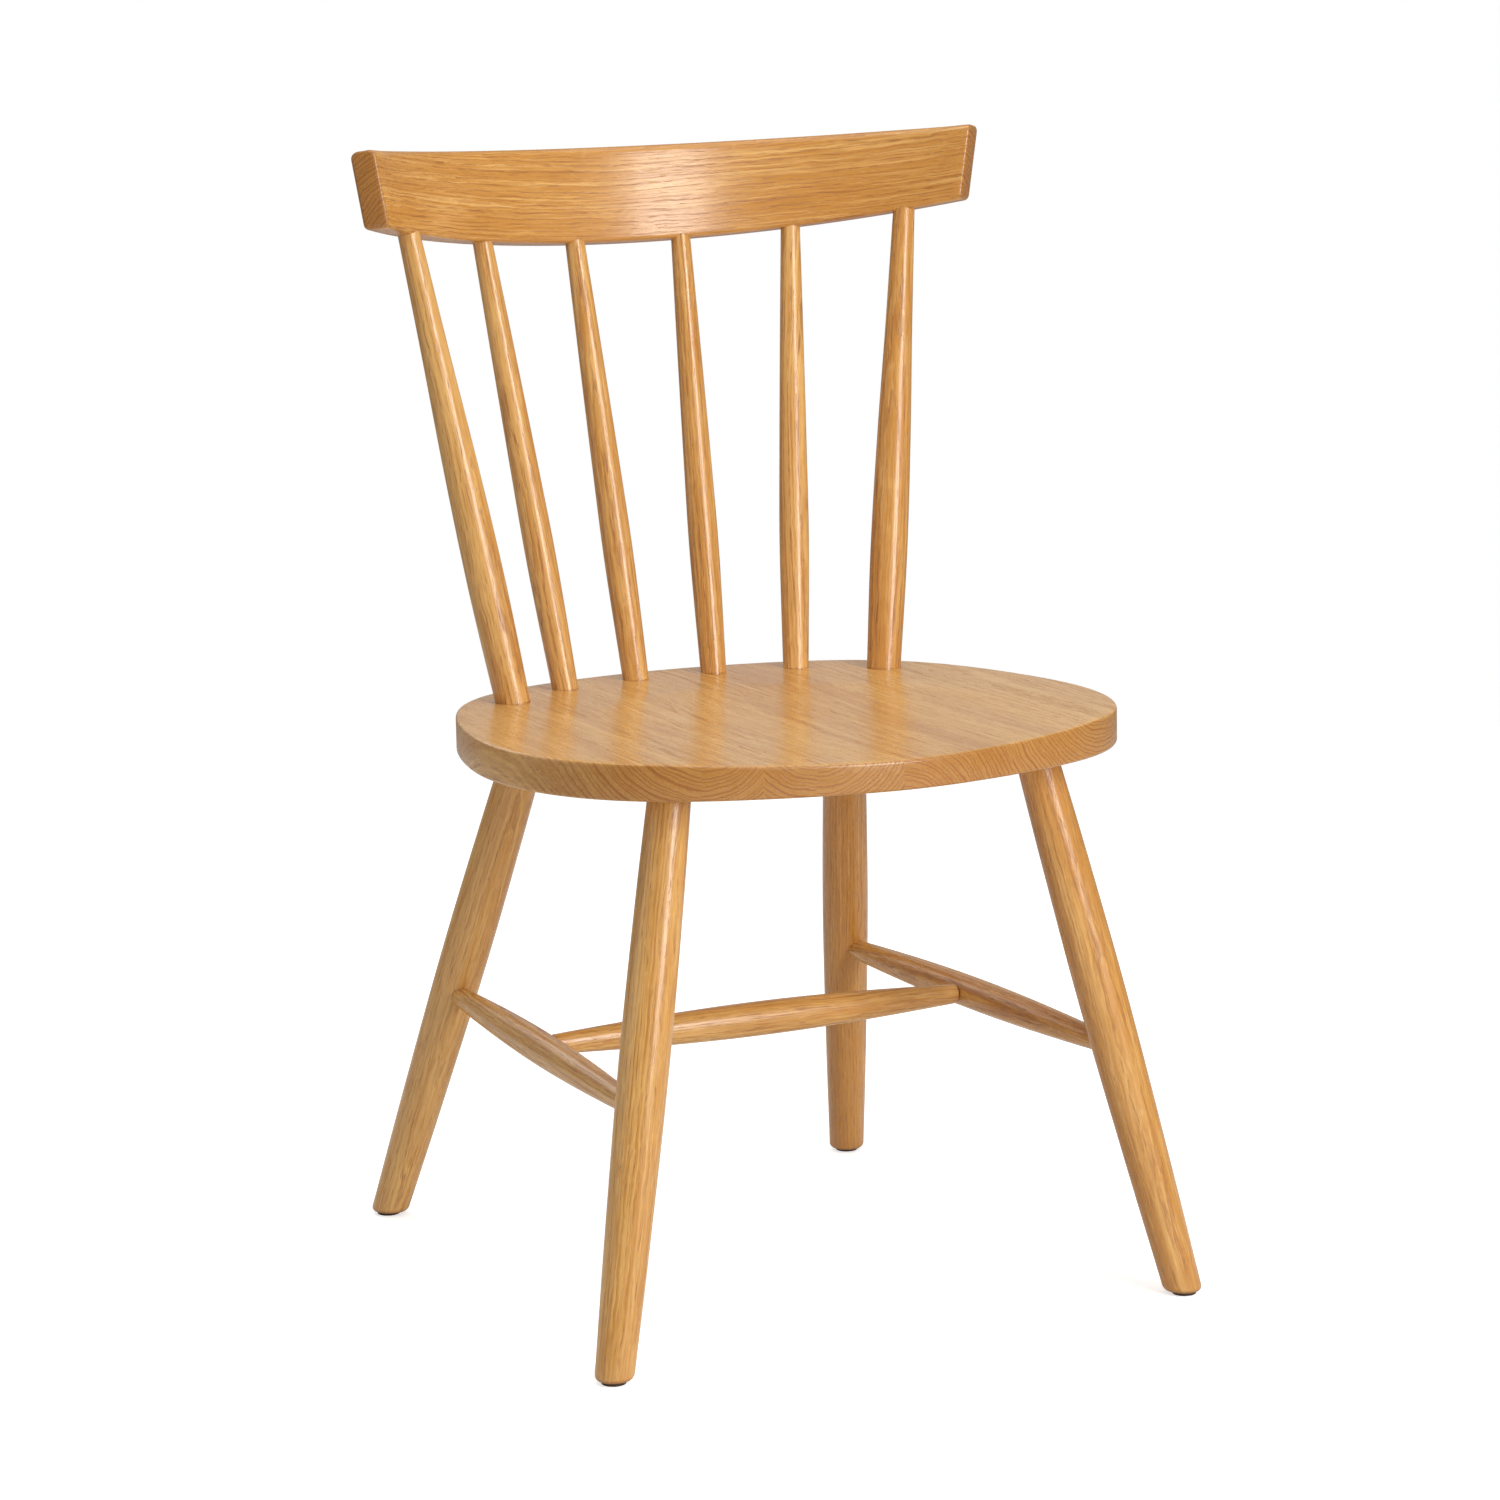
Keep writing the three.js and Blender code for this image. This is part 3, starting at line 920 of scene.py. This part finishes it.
class CHAIR_OT_stretchers(ChairOperator):
    """Turns the two side stretchers and the cross stretcher between them"""

    bl_idname = "chair.stretchers"
    bl_label = "Stretchers"

    SIDE_SLIDE = 40
    CROSS_SLIDE = 52.0
    # the cross stretcher: its tenons' diameter and length, the easing of its ends, its wood
    TENON = (0.009, 0.018)
    EASING = 0.0008
    PITH = (0.05, 0.01)
    TONE = 0.04
    # how squarely a face must look along the chair's width to be one of its ends
    SQUARE = 0.99

    def side_pair(self, sizes, draws):
        """Makes both side stretchers and tells where the cross stretcher meets them."""
        length = (Vector(sizes.front_end) - Vector(sizes.back_end)).length
        blank = turn_blank("stretcher_blank", barrel_stations(length, *sizes.side_diameters))
        crossings = []
        for side, sign in SIDES:
            back, front = on_side(sign, sizes.back_end), on_side(sign, sizes.front_end)
            piece = copy_piece(blank, f"{side}_side_stretcher_oak")
            place(piece, along(back, front))
            close_piece()
            plank = drawn_plank(draws, back, front, 0.06, self.SIDE_SLIDE, 9)
            lay_grain(piece, *plank, draws.uniform(-0.05, 0.05))
            finish_piece(piece, f"{side}_side_stretcher", "oak")
            crossings.append(back.lerp(front, sizes.cross_place))
        bpy.data.objects.remove(blank)
        return crossings

    def cross(self, sizes, left, right):
        """The cross stretcher, with eased ends and a tenon at each."""
        length = (right - left).length
        shoulder = (sizes.side_diameters[1] / 2) / length
        stations = barrel_stations(length, *sizes.cross_diameters, first=shoulder, last=1 - shoulder)
        (start, thin), (end, thin_too) = stations[0], stations[-1]
        stations[0] = (start + self.EASING, thin)
        stations.insert(0, (start, thin - 2 * self.EASING))
        stations[-1] = (end - self.EASING, thin_too)
        stations.append((end, thin_too - 2 * self.EASING))
        piece = turn_blank("cross_stretcher_oak", stations)
        place(piece, along(left, right))
        width, depth = self.TENON
        limit = end - length / 2 - CLOSE
        for way in (-1, 1):
            pick(
                piece,
                lambda face: way * face.center.x > limit and abs(face.normal.x) > self.SQUARE,
                "FACE",
            )
            bpy.ops.mesh.inset(thickness=(stations[0][1] - width) / 2)
            push((way * depth, 0, 0))
        close_piece()
        return piece

    def execute(self, context):
        sizes = context.scene.chair_stretchers
        draws = random.Random(37)
        left, right = self.side_pair(sizes, draws)
        piece = self.cross(sizes, left, right)
        reading = straight_grain(left, right, draws.uniform(0, math.tau))
        lay_grain(piece, reading, self.CROSS_SLIDE, self.PITH, self.TONE)
        finish_piece(piece, "cross_stretcher", "oak")
        return {"FINISHED"}


class CHAIR_OT_back_pieces(ChairOperator):
    """Turns the posts and spindles, level at the seat and let into the rail"""

    bl_idname = "chair.back_pieces"
    bl_label = "Posts and spindles"

    # stations up a piece, and what is left on below the seat's top to be sawn off
    STEPS = 28
    OVERRUN = 0.02
    # the full thickness goes into the rail by HOUSED, and the slimmer tenon by INTO_RAIL
    HOUSED = 0.002
    INTO_RAIL = 0.012
    TENON_PART = 0.7
    SLIDE = 60
    # each piece's node, kind, side and tone; the right post's darker tone beside the left post's
    # paler one is painted shade
    ROWS = (
        ("back_post_left", "post", -1, 0.16), ("back_post_right", "post", 1, -0.2),
        ("back_spindle_1", "outer", -1, 0.04), ("back_spindle_2", "inner", -1, 0.04),
        ("back_spindle_3", "inner", 1, 0.04), ("back_spindle_4", "outer", 1, 0.1),
    )

    def blank(self, kind, length, parts, diameters):
        """A post or spindle along +Z, with its tenon on top and still too long at its foot."""
        tenon = diameters[4] * self.TENON_PART
        stations = []
        for i in range(self.STEPS + 1):
            part = i / self.STEPS
            stations.append((part * length, smooth_values(parts, diameters, part)))
        stations.insert(0, (-self.OVERRUN, diameters[0]))
        stations.append((length + self.HOUSED, diameters[4]))
        stations.append((length + self.HOUSED, tenon))
        stations.append((length + self.INTO_RAIL, tenon))
        return turn_blank(f"{kind}_blank", stations)

    def execute(self, context):
        sizes = context.scene.chair_back
        seat = context.scene.chair_seat
        level = seat.underside + seat.thickness
        post = (sizes.parts, sizes.post_diameters)
        spindle = (sizes.spindle_parts, sizes.spindle_diameters)
        lines, blanks = {}, {}
        for kind, foot, head, shape in (
            ("post", sizes.post_foot, sizes.post_head, post),
            ("outer", sizes.outer_foot, sizes.outer_head, spindle),
            ("inner", sizes.inner_foot, sizes.inner_head, spindle),
        ):
            foot, head = Vector((*foot, level)), Vector(head)
            lines[kind] = (foot, head)
            blanks[kind] = self.blank(kind, (head - foot).length, *shape)
        draws = random.Random(51)
        for node, kind, sign, tone in self.ROWS:
            foot, head = (on_side(sign, point) for point in lines[kind])
            piece = copy_piece(blanks[kind], f"{node}_oak")
            place(piece, along(foot, head))
            saw((0, 0, foot.z), (0, 0, -1))
            close_piece()
            plank = drawn_plank(draws, foot, head, 0.07, self.SLIDE, 20)
            lay_grain(piece, *plank, tone)
            finish_piece(piece, node, "oak")
        for blank in blanks.values():
            bpy.data.objects.remove(blank)
        return {"FINISHED"}


class CHAIR_OT_crest_rail(ChairOperator):
    """Bends the crest rail, crowns its edges, saws its ends on a slant and leans it back"""

    bl_idname = "chair.crest_rail"
    bl_label = "Crest rail"

    # stations round the bend, and what is left on at each end, in end slants
    STEPS = 84
    OVERRUN = 2
    EDGE_SEGMENTS = 6
    END_SEGMENTS = 4
    SLIDE = 90.0
    PITH = (0.085, 0.04)
    TONE = -0.23

    def bar(self, sizes, bend_centre, spread):
        """The rail's cross-section with its rounded corners, swung to where the bend starts."""
        thick, half = sizes.thickness, sizes.end_height / 2
        deselect()
        bpy.ops.mesh.primitive_plane_add(size=1)
        rail = start_piece("crest_rail_oak")
        bpy.ops.transform.resize(value=(thick, 2 * half, 1))

        def corner(co):
            return max(abs(co.x) - thick / 2, abs(co.y) - half) > -CLOSE

        for way, rounding in ((1, sizes.rounding), (-1, sizes.low_rounding)):
            pick(rail, lambda co: way * co.y > 0 and corner(co))
            bpy.ops.mesh.bevel(offset=rounding, segments=self.EDGE_SEGMENTS, affect="VERTICES")
        upright = Matrix(((0, 0, -1, 0), (1, 0, 0, thick / 2), (0, 1, 0, 0), (0, 0, 0, 1)))
        to_start = (
            Matrix.Translation(bend_centre) @ Matrix.Rotation(spread, 4, "Z")
            @ Matrix.Translation(-bend_centre)
        )
        place(rail, to_start @ upright)
        return rail

    def bend(self, sizes, bend_centre, spread):
        """Sweeps the cross-section round the bend, with one long step in the waste at each end."""
        bpy.ops.object.mode_set(mode="EDIT")
        bpy.ops.mesh.select_all(action="SELECT")
        waste = 2 * self.OVERRUN * sizes.end_slant / sizes.front_radius
        for steps, turn in ((1, waste), (self.STEPS, 2 * (spread - waste)), (1, waste)):
            bpy.ops.mesh.spin(steps=steps, angle=turn, center=bend_centre, axis=(0, 0, 1))

    def crown(self, rail, sizes, half_angle):
        """Draws the top edge up and the bottom edge down in the middle."""
        middle_radius = sizes.front_radius + sizes.thickness / 2
        reach = 2 * middle_radius * math.sin(half_angle / 2)
        for way, rise in ((1, sizes.crown), (-1, sizes.bow)):
            bpy.ops.mesh.reveal(select=False)
            pick(rail, lambda co: way * co.z < 0)
            bpy.ops.mesh.hide(unselected=False)
            pick(rail, lambda co: abs(co.x) < 0.001 and way * co.z > 0)
            bpy.ops.transform.translate(
                value=(0, 0, way * rise), use_proportional_edit=True,
                proportional_edit_falloff="INVERSE_SQUARE", proportional_size=reach,
            )

    def saw_ends(self, rail, sizes, bend_centre, half_angle):
        """Saws both ends on a slant and rounds them."""
        for _, sign in SIDES:
            out = Vector((sign * math.cos(half_angle), -math.sin(half_angle), 0))
            to_end = Vector((sign * math.sin(half_angle), math.cos(half_angle), 0))
            at = bend_centre + sizes.front_radius * to_end
            slant = out - Vector((0, 0, 2 * sizes.end_slant / sizes.end_height))
            saw(at, slant)
            plane = slant.normalized()
            pick(rail, lambda co: abs((co - at).dot(plane)) < CLOSE, "EDGE")
            bpy.ops.mesh.bevel(
                offset=sizes.end_rounding, segments=self.END_SEGMENTS, affect="EDGES"
            )

    def execute(self, context):
        sizes = context.scene.chair_rail
        radius = sizes.front_radius
        half_angle = sizes.half_length / radius
        spread = (sizes.half_length + self.OVERRUN * sizes.end_slant) / radius
        bend_centre = Vector((0, -radius, 0))
        rail = self.bar(sizes, bend_centre, spread)
        self.bend(sizes, bend_centre, spread)
        self.crown(rail, sizes, half_angle)
        self.saw_ends(rail, sizes, bend_centre, half_angle)
        lean = Matrix.Translation((0, *sizes.centre)) @ Matrix.Rotation(-sizes.tilt, 4, "X")
        bpy.ops.mesh.reveal(select=False)
        place(rail, lean)
        close_piece()
        back = lean.inverted()

        def reading(point):
            local = back @ point - bend_centre
            angle = math.atan2(local.x, local.y)
            return (angle * radius, local.z, math.hypot(local.x, local.y) - radius)

        lay_grain(rail, reading, self.SLIDE, self.PITH, self.TONE)
        finish_piece(rail, "crest_rail", "oak")
        return {"FINISHED"}


def bearing(azimuth, elevation):
    """The way from the chair to what stands at a bearing and a height above the horizon."""
    flat = math.cos(elevation)
    return Vector((math.sin(azimuth) * flat, -math.cos(azimuth) * flat, math.sin(elevation)))


class CHAIR_OT_stage(ChairOperator):
    """Lays the floor, hangs the lights and sets up the camera"""

    bl_idname = "chair.stage"
    bl_label = "Studio"

    FLOOR_SIZE = 8
    CLIP_START = 0.1
    # name, bearing and height in degrees, distance, width and height, power
    LIGHTS = (
        ("key", 15, 22, 2.6, (0.9, 1.9), 53),
        ("top", 0, 86, 2.6, (3.0, 3.0), 44),
        ("side", -105, 14, 3.2, (3.0, 2.0), 9),
        ("back", 155, 16, 3.6, (4.0, 2.0), 7),
        ("rear", 200, 34, 3.2, (2.4, 1.6), 18),
    )

    def lay_floor(self, context):
        """A wide sheet for the chair to stand on."""
        deselect()
        bpy.ops.mesh.primitive_plane_add(size=self.FLOOR_SIZE)
        floor = context.object
        floor.name = floor.data.name = "studio_floor"
        floor.data.materials.append(floor_material("studio_floor"))

    def fill_air(self, context, surroundings):
        """White to look at, and soft light from all round."""
        bench = Bench(bpy.data.worlds.new("studio_air"))
        strength = surroundings + (1 - surroundings) * bench.camera_ray()
        air = bench.node(
            "ShaderNodeBackground", {}, {"Color": (1, 1, 1, 1), "Strength": strength}
        )
        bench.node("ShaderNodeOutputWorld", {}, {"Surface": air.out(0)})
        context.scene.world = bench.owner
        context.scene.view_settings.view_transform = "Standard"

    def hang_lights(self, context, target):
        """Soft rectangles of light that face the chair."""
        for name, azimuth, elevation, distance, size, power in self.LIGHTS:
            lamp = bpy.data.lights.new(name, "AREA")
            lamp.shape = "RECTANGLE"
            lamp.size, lamp.size_y = size
            lamp.energy = power
            holder = bpy.data.objects.new(name, lamp)
            context.collection.objects.link(holder)
            way = bearing(math.radians(azimuth), math.radians(elevation))
            holder.location = target + way * distance
            holder.rotation_mode = "QUATERNION"
            holder.rotation_quaternion = way.to_track_quat("Z", "Y")

    def set_camera(self, context, studio, target):
        """The camera, at its bearing and a little rolled."""
        camera = bpy.data.cameras.new("camera")
        camera.lens, camera.shift_x = studio.lens, studio.shift
        camera.clip_start = self.CLIP_START
        holder = bpy.data.objects.new("camera", camera)
        context.collection.objects.link(holder)
        way = bearing(studio.azimuth, studio.elevation)
        turn = (
            Matrix.Rotation(studio.azimuth, 4, "Z")
            @ Matrix.Rotation(math.pi / 2 - studio.elevation, 4, "X")
            @ Matrix.Rotation(studio.roll, 4, "Z")
        )
        holder.matrix_world = Matrix.Translation(target + way * studio.distance) @ turn
        context.scene.camera = holder

    def execute(self, context):
        studio = context.scene.chair_studio
        target = Vector(studio.target)
        self.lay_floor(context)
        self.fill_air(context, studio.surroundings)
        self.hang_lights(context, target)
        self.set_camera(context, studio, target)
        return {"FINISHED"}


OPERATORS = (
    CHAIR_OT_stage, CHAIR_OT_seat, CHAIR_OT_legs, CHAIR_OT_glides, CHAIR_OT_stretchers,
    CHAIR_OT_back_pieces, CHAIR_OT_crest_rail,
)


class CHAIR_PT_workshop(bpy.types.Panel):
    """Lists the chair's steps in the order that they are made"""

    bl_idname = "CHAIR_PT_workshop"
    bl_label = "Chair"
    bl_space_type = "VIEW_3D"
    bl_region_type = "UI"
    bl_category = "Chair"

    def draw(self, context):
        column = self.layout.column()
        for operator in OPERATORS:
            column.operator(operator.bl_idname)


def register():
    for group in GROUPS.values():
        bpy.utils.register_class(group)
    for name, group in GROUPS.items():
        setattr(bpy.types.Scene, name, PointerProperty(type=group))
    for operator in OPERATORS:
        bpy.utils.register_class(operator)
    bpy.utils.register_class(CHAIR_PT_workshop)


def unregister():
    bpy.utils.unregister_class(CHAIR_PT_workshop)
    for operator in reversed(OPERATORS):
        bpy.utils.unregister_class(operator)
    for name, group in GROUPS.items():
        delattr(bpy.types.Scene, name)
        bpy.utils.unregister_class(group)


def main():
    """Makes the studio and the chair."""
    register()
    for operator in OPERATORS:
        category, name = operator.bl_idname.split(".")
        getattr(getattr(bpy.ops, category), name)()


if __name__ == "__main__":
    main()
